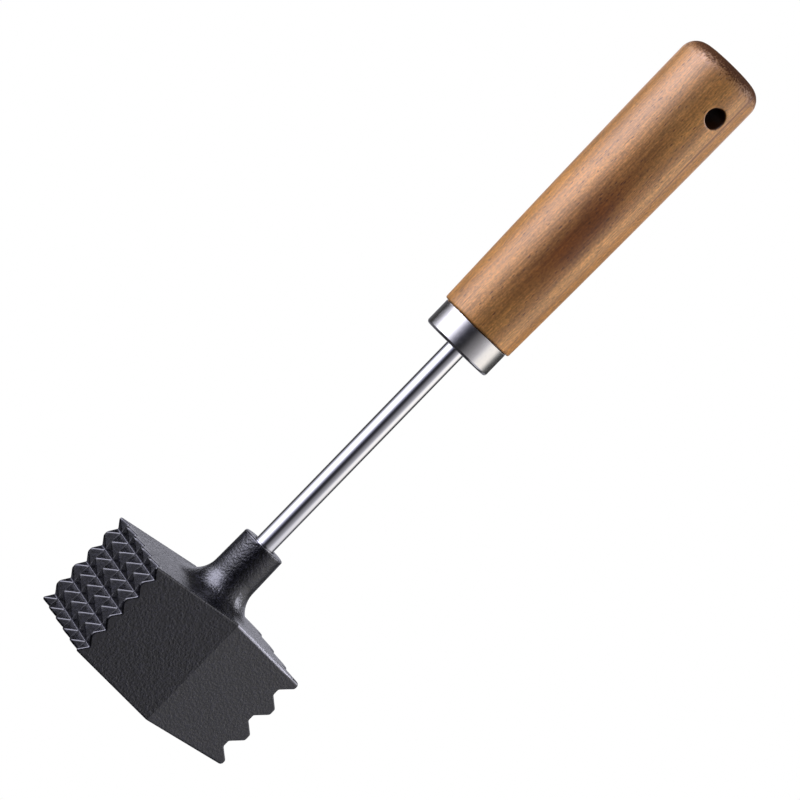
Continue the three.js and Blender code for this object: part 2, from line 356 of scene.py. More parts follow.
def arc(centre_radius, centre_height, radius, start, end, steps):
    """Points of a profile on an arc, in degrees."""
    turns = [math.radians(start + (end - start) * i / steps) for i in range(steps + 1)]
    return [(centre_radius + radius * math.cos(t), centre_height + radius * math.sin(t)) for t in turns]


def turned(name, profile, sides, material):
    start = mesh_from("start", [(r * MM, 0, z * MM) for r, z in profile])
    return shaped(name, start, LATHE, {"Sides": sides, "Material": material})


def outward(mesh):
    """The same closed mesh with its faces turned outwards."""
    shell = bmesh.new()
    shell.from_mesh(mesh)
    bmesh.ops.recalc_face_normals(shell, faces=shell.faces)
    shell.to_mesh(mesh)
    shell.free()
    return mesh


def finished(name, mesh):
    """Makes a piece of the mallet: outward faces, shading smooth but for its hard edges and the
    creases between its large panels."""
    shell = bmesh.new()
    shell.from_mesh(mesh)
    bmesh.ops.recalc_face_normals(shell, faces=shell.faces)
    for edge in shell.edges:
        turn = edge.calc_face_angle(0)
        panels = all(len(face.verts) > PANEL_CORNERS for face in edge.link_faces)
        crease = turn > CREASE_ANGLE and all(abs(corner.co.x) < HAIR * MM for corner in edge.verts)
        edge.smooth = turn < SHARP_ANGLE and not panels and not crease
    shell.to_mesh(mesh)
    shell.free()
    mesh.polygons.foreach_set("use_smooth", [True] * len(mesh.polygons))
    piece = placed(name, mesh)
    weigh = piece.modifiers.new("flats lead the shading", "WEIGHTED_NORMAL")
    weigh.mode = "FACE_AREA"
    weigh.keep_sharp = True
    weigh.weight = 100
    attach(piece, "root")
    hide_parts(name.removesuffix(".look"))


def cut(mesh, cutter):
    """The mesh with the cutter's solid taken out of it."""
    body, tool = placed("blank", mesh), placed("cutter", cutter)
    modifier = body.modifiers.new("cut", "BOOLEAN")
    modifier.object = tool
    modifier.operation = "DIFFERENCE"
    modifier.solver = "EXACT"
    result = modified(body)
    for part in (body, tool):
        bpy.data.objects.remove(part)
    return result


def strip(faces, low, high):
    """Adds the faces between two rows of points."""
    faces.extend([low[k], low[k + 1], high[k + 1], high[k]] for k in range(len(low) - 1))


def join(faces, low, high):
    """Adds the faces between two rings of points."""
    strip(faces, low + low[:1], high + high[:1])


# Head, built from the middle of its length with its axis along X; a point on an end is given by
# its depth below the tips, its place across towards side k and its place along towards side k + 1
SIDES = [Vector((0, 1, 0)), Vector((0, 0, 1)), Vector((0, -1, 0)), Vector((0, 0, -1))]


def tooth_pitch(teeth):
    return (HEAD_END - 2 * teeth["Tip Inset"]) / (teeth["Teeth Across"] - 1)


def spread(across, depth, reach):
    """Grows the outermost places with depth, so that the teeth end in the tapering sides."""
    nearness = min(1.0, abs(across) / reach) ** SPREAD_POWER
    return across + math.copysign(HEAD_TAPER * depth * nearness, across)


def head_end(points, faces, end, teeth, material):
    """Adds one toothed face with its rounded border, and gives for each side the row of points
    where the border meets it and, for each corner, the arc from that side to the next."""
    pitch = tooth_pitch(teeth)
    reach = HEAD_END / 2 - teeth["Tip Inset"] - pitch / teeth["Steps"] * teeth["Border Steps"]
    edge = HEAD_END / 2 - reach
    field = shaped("field", mesh_from("start", []), TEETH, teeth | {"Pitch": pitch, "Material": material})
    highest = min(v.co.z for v in field.vertices)

    def put(side, across, along, depth):
        a = spread(across, depth, reach)
        b = spread(along, depth, reach)
        turn = SIDES[side] * a + SIDES[(side + 1) % 4] * b
        points.append(Vector((end * (HEAD_LENGTH / 2 - depth), turn.y, HEAD_AXIS + turn.z)))
        return len(points) - 1

    flat = [v.co - Vector((0, 0, highest)) for v in field.vertices]
    first = len(points)
    for p in flat:
        put(0, p.x, p.y, p.z)
    faces.extend([first + i for i in polygon.vertices] for polygon in field.polygons)
    ups = [math.radians(90 * i / EDGE_STEPS) for i in range(EDGE_STEPS + 1)]

    # Border rows, each from the corner with the side before to the corner with the side after
    borders = []
    for side in range(4):
        out = SIDES[side]
        on = SIDES[(side + 1) % 4]
        row = []
        for i, p in enumerate(flat):
            place = Vector((0, p.x, p.y))
            if place.dot(out) > reach - HAIR:
                row.append((place.dot(on), p.z, first + i))
        row.sort()
        rows = [[i for _, _, i in row]]
        for up in ups[1:]:
            across = reach + edge * math.sin(up)
            drop = edge * (1 - math.cos(up))
            rows.append([put(side, across, along, depth + drop) for along, depth, _ in row])
            strip(faces, rows[-2], rows[-1])
        borders.append(rows)

    # Corners, an eighth of a ball each
    corner_arcs = []
    for side in range(4):
        here, after = borders[side], borders[(side + 1) % 4]
        pole = here[0][-1]
        depth = HEAD_LENGTH / 2 - end * points[pole].x
        before = [pole] * (EDGE_STEPS + 1)
        for i, up in enumerate(ups[1:], 1):
            ring = [here[i][-1]]
            for turn in ups[1:-1]:
                across = reach + edge * math.sin(up) * math.cos(turn)
                along = reach + edge * math.sin(up) * math.sin(turn)
                ring.append(put(side, across, along, depth + edge * (1 - math.cos(up))))
            ring.append(after[i][0])
            for k in range(EDGE_STEPS):
                faces.append(list(dict.fromkeys([before[k], before[k + 1], ring[k + 1], ring[k]])))
            before = ring
        corner_arcs.append(before)
    return [rows[-1] for rows in borders], corner_arcs


def neck_fall(angle):
    """How steeply the head's top falls away at an angle round the rod."""
    return math.atan(abs(math.cos(angle)) * HEAD_TAPER)


def neck_rings():
    """The flare's rolling-ball fillet over the falling top, the socket, its rim and the bore."""
    base = SOCKET_BASE_DIAMETER / 2
    top = SOCKET_TOP_DIAMETER / 2
    ball = base + NECK_FILLET_RADIUS
    turns = [math.tau * i / NECK_SIDES for i in range(NECK_SIDES)]
    rings = []
    for i in range(FILLET_STEPS + 1):
        ring = []
        for turn in turns:
            fall = neck_fall(turn)
            swing = fall + (math.pi / 2 - fall) * i / FILLET_STEPS
            rest = HEAD_MIDDLE - ball * math.tan(fall) + NECK_FILLET_RADIUS / math.cos(fall)
            radius = ball - NECK_FILLET_RADIUS * math.sin(swing)
            height = rest - NECK_FILLET_RADIUS * math.cos(swing)
            ring.append(Vector((radius * math.cos(turn), radius * math.sin(turn), height)))
        rings.append(ring)
    rim = SOCKET_RIM_RADIUS
    profile = arc(top - rim, SOCKET_TOP - rim, rim, 0, 90, RIM_STEPS)
    roof = HEAD_AXIS + HEAD_END / 2 - HEAD_SIDE_WALL + FIT_GAP
    mouth = SOCKET_MOUTH_CHAMFER
    profile += [(BORE_RADIUS + mouth, SOCKET_TOP), (BORE_RADIUS, SOCKET_TOP - mouth), (BORE_RADIUS, roof)]
    for radius, height in profile:
        rings.append([Vector((radius * math.cos(t), radius * math.sin(t), height)) for t in turns])
    return rings


def bar_ring(x, half):
    """A ring of the core's room: the corners of a chamfered square, its roof between 3 and 4."""
    low = half - CORE_CHAMFER
    corners = [(low, -half), (half, -low), (half, low), (low, half)]
    corners += [(-y, -z) for y, z in corners]
    return [Vector((x, y, HEAD_AXIS + z)) for y, z in corners]


def head_mesh(material):
    points = []
    faces = []

    def put_ring(ring):
        first = len(points)
        points.extend(ring)
        return list(range(first, first + len(ring)))

    ends = {
        -1: head_end(points, faces, -1, FINE_TEETH, material),
        1: head_end(points, faces, 1, COARSE_TEETH, material),
    }

    # Rounded long edges, which meet the other half's at the crease
    crease = []
    edge = CREASE_EDGE_RADIUS
    for side in range(4):
        ring = []
        for i in range(EDGE_STEPS + 1):
            turn = math.radians(90 * i / EDGE_STEPS)
            across = HEAD_MIDDLE / 2 - edge + edge * math.cos(turn)
            along = HEAD_MIDDLE / 2 - edge + edge * math.sin(turn)
            place = SIDES[side] * across + SIDES[(side + 1) % 4] * along
            ring.append(Vector((0, place.y, HEAD_AXIS + place.z)))
        crease.append(put_ring(ring))
    for _, corner_arcs in ends.values():
        for side in range(4):
            strip(faces, corner_arcs[side], crease[side])

    # Neck, socket and bore
    rings = [put_ring(ring) for ring in neck_rings()]
    for low, high in zip(rings, rings[1:]):
        join(faces, low, high)

    # Tapering sides; the top's halves stop at the foot of the neck
    foot = rings[0]
    quarter = NECK_SIDES // 4
    for end, (rows, _) in ends.items():
        for side in range(4):
            outline = list(rows[side])
            outline.append(crease[side][0])
            if side == 1:
                turns = range(-quarter, quarter + 1) if end > 0 else range(3 * quarter, quarter - 1, -1)
                around = [foot[k % NECK_SIDES] for k in turns]
                start = points[outline[-1]]
                if (points[around[0]] - start).length > (points[around[-1]] - start).length:
                    around.reverse()
                outline.extend(around)
            outline.append(crease[side - 1][-1])
            faces.append(outline)

    # Room for the core; its roof is cut in two where the bore comes in
    half = HEAD_END / 2 - HEAD_SIDE_WALL + FIT_GAP
    far = HEAD_LENGTH / 2 - HEAD_END_WALL + FIT_GAP
    tight = half - CORE_CHAMFER
    near = far - CORE_CHAMFER
    left_end, left, right, right_end = (
        put_ring(bar_ring(x, across))
        for x, across in ((-far, tight), (-near, half), (near, half), (far, tight))
    )
    join(faces, left_end, left)
    join(faces, right, right_end)
    faces.extend([left_end, right_end])
    strip(faces, left[:4], right[:4])
    strip(faces, left[4:] + left[:1], right[4:] + right[:1])
    mouth = rings[-1]
    eighth = NECK_SIDES // 8
    way = [mouth[k % NECK_SIDES] for k in range(eighth, eighth - NECK_SIDES // 2 - 1, -1)]
    faces.append([left[4], right[4], right[3]] + way)
    way = [mouth[k % NECK_SIDES] for k in range(eighth + NECK_SIDES // 2, eighth - 1, -1)]
    faces.append([right[3], left[3], left[4]] + way)
    return mesh_from("head.look", [p * MM for p in points], faces, material)


def rod_profile():
    radius = ROD_DIAMETER / 2
    floor = radius - TANG_GROOVE_DEPTH
    profile = [(0, ROD_FOOT), (radius - ROD_END_CHAMFER, ROD_FOOT), (radius, ROD_FOOT + ROD_END_CHAMFER)]
    for i in range(TANG_GROOVES):
        low = ROD_TOP - (TANG_GROOVES - i) * TANG_GROOVE_PITCH
        high = low + TANG_GROOVE_WIDTH
        profile += [(radius, low), (floor, low + TANG_GROOVE_DEPTH)]
        profile += [(floor, high - TANG_GROOVE_DEPTH), (radius, high)]
    return profile + [(radius, ROD_TOP - ROD_END_CHAMFER), (radius - ROD_END_CHAMFER, ROD_TOP), (0, ROD_TOP)]


def rod_mesh(material):
    rod = turned("shaft_rod.look", rod_profile(), ROD_SIDES, material)
    reach = ROD_DIAMETER
    hole = PIN_HOLE_DIAMETER / 2
    profile = [(0, -reach), (hole, -reach), (hole, reach), (0, reach)]
    pin_cutter = turned("pin cutter", profile, ROD_SIDES // 2, material)
    pin_cutter.transform(Matrix.Translation((0, 0, HEAD_AXIS * MM)) @ Matrix.Rotation(math.pi / 2, 4, "X"))
    return cut(rod, outward(pin_cutter))


def ferrule_profile():
    outer = FERRULE_DIAMETER / 2
    inner = outer - FERRULE_WALL
    edge = FERRULE_EDGE_RADIUS
    rim = FERRULE_RIM_RADIUS
    top = FERRULE_TOP + FERRULE_TUCK
    floor = FERRULE_BOTTOM + FERRULE_WALL
    profile = [(BORE_RADIUS, FERRULE_BOTTOM)]
    profile += arc(outer - edge, FERRULE_BOTTOM + edge, edge, -90, 0, FERRULE_EDGE_STEPS)
    profile += arc(outer - rim, top - rim, rim, 0, 90, FERRULE_RIM_STEPS)
    return profile + [(inner, top), (inner, floor), (BORE_RADIUS, floor), (BORE_RADIUS, FERRULE_BOTTOM)]


def swell_radius(height):
    """Radius of the handle's long swell, and past it of the ball-nosed butt."""
    share = min(1.0, max(0.0, (height - SHOULDER) / (SWELL_END - SHOULDER)))
    growth = (HANDLE_BUTT_DIAMETER - HANDLE_JOINT_DIAMETER) / 2
    return HANDLE_BUTT_DIAMETER / 2 - growth * (1 - share) ** SWELL_POWER


def handle_profile():
    spigot = FERRULE_DIAMETER / 2 - FERRULE_WALL - FIT_GAP
    spigot_low = FERRULE_BOTTOM + FERRULE_WALL + FIT_GAP
    bore_end = ROD_TOP + FIT_GAP
    joint = HANDLE_JOINT_DIAMETER / 2
    corner = HANDLE_JOINT_RADIUS
    edge = HANDLE_BUTT_RADIUS
    profile = [(0, bore_end + BORE_RADIUS / math.tan(DRILL_POINT_ANGLE)), (BORE_RADIUS, bore_end)]
    profile += [(BORE_RADIUS, spigot_low), (spigot, spigot_low), (spigot, SHOULDER)]
    profile += arc(joint - corner, SHOULDER + corner, corner, -90, 0, JOINT_STEPS)
    for i in range(1, SWELL_STEPS):
        height = SHOULDER + (SWELL_END - SHOULDER) * i / SWELL_STEPS
        profile.append((swell_radius(height), height))
    profile += arc(HANDLE_BUTT_DIAMETER / 2 - edge, SWELL_END, edge, 0, 90, BUTT_STEPS)
    return profile + [(0, BUTT)]


def hole_cutter(material):
    """Drill along Y whose rounded mouths follow the handle's skin."""
    rings = []
    for i in range(HANG_HOLE_STEPS + 1):
        up = math.radians(90 * i / HANG_HOLE_STEPS)
        radius = HANG_HOLE_DIAMETER / 2 + HANG_HOLE_EDGE * (1 - math.cos(up))
        sink = HANG_HOLE_EDGE * (1 - math.sin(up))
        if i == HANG_HOLE_STEPS:
            sink -= HANG_HOLE_OVERRUN
        ring = []
        for k in range(HANG_HOLE_SIDES):
            turn = math.tau * k / HANG_HOLE_SIDES
            x = radius * math.cos(turn)
            z = HANG_HOLE_HEIGHT + radius * math.sin(turn)
            ring.append(Vector((x, math.sqrt(swell_radius(z) ** 2 - x * x) - sink, z)))
        rings.append(ring)
    rings.append([Vector((p.x, HANDLE_BUTT_DIAMETER, p.z)) for p in rings[-1]])
    rings = [[Vector((p.x, -p.y, p.z)) for p in ring] for ring in reversed(rings)] + rings
    rows = [list(range(r * HANG_HOLE_SIDES, (r + 1) * HANG_HOLE_SIDES)) for r in range(len(rings))]
    faces = [rows[0], rows[-1]]
    for low, high in zip(rows, rows[1:]):
        join(faces, low, high)
    return outward(mesh_from("hole cutter", [p * MM for ring in rings for p in ring], faces, material))


def handle_mesh(material):
    blank = turned("handle.look", handle_profile(), HANDLE_SIDES, material)
    return cut(outward(blank), hole_cutter(material))


def surface(name):
    """A new material; gives it, its tree, its Principled shader and its place in millimetres."""
    material = bpy.data.materials.new(name)
    material.use_nodes = True
    tree = material.node_tree
    tree.nodes.clear()
    shader = add(tree, "ShaderNodeBsdfPrincipled")
    add(tree, "ShaderNodeOutputMaterial", {"Surface": shader})
    where = add(tree, "ShaderNodeTexCoord")
    place = add(tree, "ShaderNodeMapping", {"Vector": where.outputs["Object"], "Scale": [1 / MM] * 3})
    return material, tree, shader, place


def stretched(tree, place, scale, detail):
    """Noise with its own number of spots to the millimetre along each axis."""
    spots = add(tree, "ShaderNodeMapping", {"Vector": place, "Scale": scale})
    return add(tree, NOISE, {"Vector": spots, "Scale": 1.0, "Detail": detail})


def spark_eroded_nylon():
    """Black polyamide 6, injection moulded in a spark-eroded mould: a black skin with a soft sheen
    that its pebbled grain breaks into specks. The real grain is about 0.3 mm; it is drawn 0.9 mm
    so that it shows, and is fainter on the teeth. Pale highlights are painted on the floors of the
    fine valleys along the face and on the coarse half's upper edges."""
    material, tree, shader, place = surface("black polyamide, spark-eroded grain")
    xyz = add(tree, "ShaderNodeSeparateXYZ", {0: place})
    above = add(tree, MATH, {0: xyz.outputs[2], 1: HEAD_AXIS}, operation="SUBTRACT")
    along, aside, off_axis = (
        add(tree, MATH, {0: way}, operation="ABSOLUTE") for way in (xyz.outputs[0], xyz.outputs[1], above)
    )

    # Grain, its specks and its sheen
    grain = add(tree, NOISE, {"Vector": place, "Scale": 1.1, "Detail": 3.0, "Roughness": 0.65})
    pits = add(tree, "ShaderNodeTexVoronoi", {"Vector": place, "Scale": 1.5}, feature="SMOOTH_F1")
    flow = add(tree, NOISE, {"Vector": place, "Scale": 0.07, "Detail": 2.0})
    height = add(tree, MATH, {0: pits, 1: 0.5, 2: grain}, operation="MULTIPLY_ADD")
    start, end = GRAIN_FADE
    strength = add(
        tree,
        MAP_RANGE,
        {"Value": along, "From Min": start, "From Max": end, "To Min": 1.0, "To Max": 0.15},
    )
    bump = add(tree, "ShaderNodeBump", {"Strength": strength, "Distance": 0.14 * MM, "Height": height})
    worn = add(tree, MATH, {0: flow, 1: 0.4, 2: grain}, operation="MULTIPLY_ADD")
    gloss = add(
        tree,
        MAP_RANGE,
        {"Value": worn, "From Min": 0.45, "From Max": 0.95, "To Min": 0.19, "To Max": 0.31},
    )
    speck = add(tree, MAP_RANGE, {"Value": grain, "From Min": 0.44, "From Max": 0.64})
    tint = add(tree, MIX, {0: speck, 6: colour("020204"), 7: colour("1c1c27")}, data_type="RGBA")

    # Painted highlight on the floors of the fine valleys that run along Y
    half_pitch = tooth_pitch(FINE_TEETH) / 2
    off_floor = add(tree, MATH, {0: above, 1: half_pitch}, operation="PINGPONG")
    start, end = VALLEY_HIGHLIGHT_SPAN
    valley_floor_highlight = add(
        tree,
        MAP_RANGE,
        {"Value": off_floor, "From Min": start, "From Max": end, "To Min": PAINTED_HIGHLIGHT_SHARE, "To Max": 0.0},
    )
    floor_place = FINE_TEETH["Depth"] - HEAD_LENGTH / 2
    at_floor = add(tree, MATH, {0: xyz.outputs[0], 1: floor_place, 2: 0.5}, operation="COMPARE")
    inside = add(tree, MATH, {0: aside, 1: HEAD_END / 2}, operation="LESS_THAN")

    # Painted highlight on the upper edges, where both distances from the axis come near half the tapering
    # width
    both = add(tree, MATH, {0: aside, 1: off_axis}, operation="ADD")
    past = add(tree, MATH, {0: along, 1: HEAD_TAPER * 2, 2: both}, operation="MULTIPLY_ADD")
    start, end = EDGE_HIGHLIGHT_SPAN
    upper_edge_highlight = add(
        tree,
        MAP_RANGE,
        {"Value": past, "From Min": start, "From Max": end, "To Min": 0.0, "To Max": PAINTED_HIGHLIGHT_SHARE},
    )
    near_top, coarse_half = (
        add(tree, MATH, {0: way, 1: middle, 2: reach}, operation="COMPARE")
        for way, middle, reach in (
            (above, EDGE_HIGHLIGHT_HEIGHT, EDGE_HIGHLIGHT_SPREAD),
            (xyz.outputs[0], EDGE_HIGHLIGHT_MIDDLE, EDGE_HIGHLIGHT_MIDDLE),
        )
    )

    # Pale colours painted on as highlights over the grain: the valley floors and the upper edges
    for share, limits, highlight_colour in (
        (valley_floor_highlight, (at_floor, inside), "494955"),
        (upper_edge_highlight, (near_top, coarse_half), "b4b4c4"),
    ):
        for limit in limits:
            share = add(tree, MATH, {0: share, 1: limit}, operation="MULTIPLY")
        tint = add(tree, MIX, {0: share, 6: tint, 7: colour(highlight_colour)}, data_type="RGBA")
    feed(tree, shader, {"Base Color": tint, "Roughness": gloss, "IOR": 1.57, "Normal": bump})
    return material


def polished_stainless():
    """Drawn stainless rod, polished lengthwise: near-mirror, with faint lines along it."""
    material, tree, shader, place = surface("polished stainless steel, drawn rod")
    lines = stretched(tree, place, (3.0, 3.0, 0.05), 3.0)
    gloss = add(
        tree,
        MAP_RANGE,
        {"Value": lines, "From Min": 0.3, "From Max": 0.7, "To Min": 0.07, "To Max": 0.14},
    )
    bump = add(tree, "ShaderNodeBump", {"Strength": 0.1, "Distance": 0.01 * MM, "Height": lines})
    feed(tree, shader, {"Base Color": colour("dcdcdf"), "Metallic": 1.0, "Roughness": gloss, "Normal": bump})
    return material


def satin_stainless():
    """Deep-drawn stainless cup, satin-buffed round its axis: soft reflections with fine rings."""
    material, tree, shader, place = surface("satin stainless steel, drawn cup")
    rings = stretched(tree, place, (0.12, 0.12, 6.0), 4.0)
    cloud = add(tree, NOISE, {"Vector": place, "Scale": 0.9, "Detail": 4.0, "Roughness": 0.7})
    gloss = add(
        tree,
        MAP_RANGE,
        {"Value": cloud, "From Min": 0.3, "From Max": 0.7, "To Min": 0.13, "To Max": 0.24},
    )
    relief = add(tree, MATH, {0: cloud, 1: 0.6, 2: rings}, operation="MULTIPLY_ADD")
    bump = add(tree, "ShaderNodeBump", {"Strength": 0.2, "Distance": 0.01 * MM, "Height": relief})
    feed(tree, shader, {"Base Color": colour("d4d2cf"), "Metallic": 1.0, "Roughness": gloss, "Normal": bump})
    return material


def bar_steel():
    """Cold-drawn mild steel bar, left as it comes: dull grey with drawing lines along X."""
    material, tree, shader, place = surface("cold-drawn mild steel bar")
    lines = stretched(tree, place, (0.08, 4.0, 4.0), 3.0)
    tint = add(tree, MIX, {0: lines, 6: colour("66686c"), 7: colour("8c8e92")}, data_type="RGBA")
    feed(tree, shader, {"Base Color": tint, "Metallic": 1.0, "Roughness": 0.42})
    return material


def spring_steel():
    """Rolled and tempered spring steel strip: blue-grey with a thin oxide that varies."""
    material, tree, shader, place = surface("tempered spring steel")
    cloud = add(tree, NOISE, {"Vector": place, "Scale": 0.8, "Detail": 3.0})
    tint = add(tree, MIX, {0: cloud, 6: colour("55585f"), 7: colour("7c7f86")}, data_type="RGBA")
    feed(tree, shader, {"Base Color": tint, "Metallic": 1.0, "Roughness": 0.35})
    return material


def oiled_acacia():
    """Acacia turned between centres, sanded to 240 grit and oiled to a satin skin: warm brown with
    faint growth bands, fibres 0.3 mm wide along the handle, broad shifts of tone where the sanded
    fibres tilt, and open pores 1 to 3 mm long that gather in streaks."""
    material, tree, shader, place = surface("oiled acacia, turned")
    xyz = add(tree, "ShaderNodeSeparateXYZ", {0: place})
    rise = xyz.outputs[2]
    drift = stretched(tree, place, (0.03, 0.03, 0.014), 1.0)
    bent = add(
        tree,
        VECTOR_MATH,
        {0: drift.outputs["Color"], 1: (4.0, 4.0, 0.0), 2: place},
        operation="MULTIPLY_ADD",
    )

    # Growth bands round a pith that stood outside the blank, with thin lines of late wood
    off_pith = add(tree, VECTOR_MATH, {0: bent, 1: PITH}, operation="SUBTRACT")
    flat = add(tree, VECTOR_MATH, {0: off_pith, 1: (1.0, 1.0, 0.03)}, operation="MULTIPLY")
    ring = add(tree, VECTOR_MATH, {0: flat}, operation="LENGTH")
    year = add(tree, MATH, {0: ring, 1: 0.35}, operation="MULTIPLY")
    bands = add(
        tree,
        NOISE,
        {"W": year, "Scale": 1.0, "Detail": 3.0, "Roughness": 0.6},
        noise_dimensions="1D",
    )
    band_share = add(
        tree,
        MAP_RANGE,
        {"Value": bands, "From Min": 0.3, "From Max": 0.7},
        interpolation_type="SMOOTHSTEP",
    )
    late_wood = add(tree, MATH, {0: bands, 1: 0.56, 2: 0.006}, operation="COMPARE")
    line_share = add(tree, MATH, {0: late_wood, 1: 0.4}, operation="MULTIPLY")

    # Dark heart along the front, which thins out near the hanging hole; it is partly darker wood and
    # partly painted shade where the handle faces the dark front of the studio
    off_heart_and_shade = add(tree, VECTOR_MATH, {0: bent, 1: HEART_AND_SHADE_LINE}, operation="SUBTRACT")
    across = add(tree, VECTOR_MATH, {0: off_heart_and_shade, 1: (1.0, 1.0, 0.0)}, operation="MULTIPLY")
    off = add(tree, VECTOR_MATH, {0: across}, operation="LENGTH")
    blur = stretched(tree, place, (0.2, 0.2, 0.05), 4.0)
    mottled = add(tree, MATH, {0: blur, 1: 7.0, 2: off}, operation="MULTIPLY_ADD")
    heart_and_shade_share = add(
        tree,
        MAP_RANGE,
        {"Value": mottled, "From Min": 4.5, "From Max": 12.5, "To Min": 0.95, "To Max": 0.0},
        interpolation_type="SMOOTHSTEP",
    )
    for faint, full, least in HEART_AND_SHADE_FADES:
        fade = add(
            tree,
            MAP_RANGE,
            {"Value": rise, "From Min": faint, "From Max": full, "To Min": least, "To Max": 1.0},
        )
        heart_and_shade_share = add(tree, MATH, {0: heart_and_shade_share, 1: fade}, operation="MULTIPLY")

    # Shades: broad patches, streaks, fibres and the flecks of the sanded skin
    patches = stretched(tree, bent, (0.1, 0.1, 0.035), 2.0)
    streaks = stretched(tree, bent, (0.8, 0.8, 0.02), 2.0)
    fibres = stretched(tree, bent, (2.4, 2.4, 0.13), 3.0)
    flecks = stretched(tree, bent, (2.0, 2.0, 1.1), 3.0)
    shade = None
    for noise, least, most in (
        (patches, 0.84, 1.14),
        (streaks, 0.9, 1.08),
        (fibres, 0.72, 1.26),
        (flecks, 0.7, 1.28),
    ):
        tone = add(
            tree,
            MAP_RANGE,
            {"Value": noise, "From Min": 0.32, "From Max": 0.68, "To Min": least, "To Max": most},
        )
        shade = add(tree, MATH, {0: shade, 1: tone}, operation="MULTIPLY") if shade else tone

    # Open pores, and now and then a long vessel line
    swarm = stretched(tree, bent, (0.22, 0.22, 0.05), 1.0)
    crowd = add(
        tree,
        MAP_RANGE,
        {"Value": swarm, "From Min": 0.4, "From Max": 0.58, "To Min": 0.08, "To Max": 0.75},
    )
    pore = None
    for scale, core, rim in (((1.5, 1.5, 0.36), 0.17, 0.34), ((1.2, 1.2, 0.06), 0.05, 0.18)):
        spots = add(tree, "ShaderNodeMapping", {"Vector": bent, "Scale": scale})
        cells = add(tree, "ShaderNodeTexVoronoi", {"Vector": spots, "Scale": 1.0})
        pick = add(tree, "ShaderNodeSeparateColor", {0: cells.outputs["Color"]})
        size = add(tree, MATH, {0: pick.outputs[1], 1: 0.12, 2: cells}, operation="MULTIPLY_ADD")
        hollow = add(
            tree,
            MAP_RANGE,
            {"Value": size, "From Min": core, "From Max": rim, "To Min": 1.0, "To Max": 0.0},
        )
        some = add(tree, MATH, {0: pick.outputs[0], 1: crowd}, operation="LESS_THAN")
        shown = add(tree, MATH, {0: hollow, 1: some}, operation="MULTIPLY")
        pore = add(tree, MATH, {0: pore, 1: shown}, operation="MAXIMUM") if pore else shown
    pore_share = add(tree, MATH, {0: pore, 1: 0.9}, operation="MULTIPLY")

    # A dark growth line that shows along one side of the butt
    off_line = add(tree, VECTOR_MATH, {0: bent, 1: GROWTH_LINE_SIDE}, operation="DOT_PRODUCT")
    on_line = add(tree, MATH, {0: off_line, 1: GROWTH_LINE_REACH, 2: GROWTH_LINE_WIDTH}, operation="COMPARE")
    start, end = GROWTH_LINE_RISE
    line_end = add(
        tree,
        MAP_RANGE,
        {"Value": rise, "From Min": start, "From Max": end, "To Min": 0.0, "To Max": 0.75},
    )
    growth_share = add(tree, MATH, {0: on_line, 1: line_end}, operation="MULTIPLY")

    # End grain drinks more oil, so the butt darkens over its rounded edge; the hanging hole's wall is
    # darkened as painted shade
    ragged = add(tree, MATH, {0: flecks, 1: 9.0, 2: rise}, operation="MULTIPLY_ADD")
    end_share = add(
        tree,
        MAP_RANGE,
        {"Value": ragged, "From Min": SWELL_END + 4, "From Max": BUTT + 3, "To Min": 0.0, "To Max": 0.96},
        interpolation_type="SMOOTHSTEP",
    )
    off_hole = add(
        tree,
        VECTOR_MATH,
        {0: place, 1: (1.0, 0.0, 1.0), 2: (0.0, 0.0, -HANG_HOLE_HEIGHT)},
        operation="MULTIPLY_ADD",
    )
    from_hole = add(tree, VECTOR_MATH, {0: off_hole}, operation="LENGTH")
    wall = HANG_HOLE_DIAMETER / 2
    hole_shade_share = add(
        tree,
        MAP_RANGE,
        {"Value": from_hole, "From Min": wall, "From Max": wall + 0.4, "To Min": 1.0, "To Max": 0.0},
    )

    # Colours, each laid over the last; the shades work on the wood and not on what lies over it
    tint = add(tree, MIX, {0: band_share, 6: colour("b67d3f"), 7: colour("ca8f4c")}, data_type="RGBA")
    # The heart's stain is partly darker wood and partly painted shade along the front
    for share, stain in ((line_share, "6a3f20"), (heart_and_shade_share, "824818")):
        tint = add(tree, MIX, {0: share, 6: tint, 7: colour(stain)}, data_type="RGBA")
    tint = add(tree, VECTOR_MATH, {0: tint, "Scale": shade}, operation="SCALE")
    for share, stain in (
        (pore_share, "40200c"),
        (growth_share, "6e3c14"),
        (end_share, "351805"),
        # painted shade inside the hanging hole
        (hole_shade_share, "3a1f0e"),
    ):
        tint = add(tree, MIX, {0: share, 6: tint, 7: colour(stain)}, data_type="RGBA")

    # Fibres and pores in relief, and a sheen that the end grain loses
    relief = add(tree, MATH, {0: pore, 1: -1.5, 2: fibres}, operation="MULTIPLY_ADD")
    bump = add(tree, "ShaderNodeBump", {"Strength": 0.4, "Distance": 0.05 * MM, "Height": relief})
    gloss = add(
        tree,
        MAP_RANGE,
        {"Value": fibres, "From Min": 0.3, "From Max": 0.7, "To Min": 0.34, "To Max": 0.44},
    )
    roughness, coat, shine = (
        add(tree, MATH, {0: end_share, 1: change, 2: usual}, operation="MULTIPLY_ADD")
        for change, usual in ((0.3, gloss), (-0.5, 0.5), (-0.4, 0.5))
    )
    feed(
        tree,
        shader,
        {
            "Base Color": tint,
            "Roughness": roughness,
            "IOR": 1.5,
            "Specular IOR Level": shine,
            "Coat Weight": coat,
            "Coat Roughness": 0.36,
            "Normal": bump,
        },
    )
    return material


# Camera: its angles in degrees, and its distance from the point that it looks at
CAMERA_AZIMUTH = -33.84
CAMERA_RISE = 2.32
CAMERA_ROLL = 44.15
CAMERA_DISTANCE = 1150
CAMERA_ASIDE = -1.28
CAMERA_HEIGHT = 125.65
CAMERA_FOCAL_LENGTH = 164.86
CAMERA_SENSOR = 36

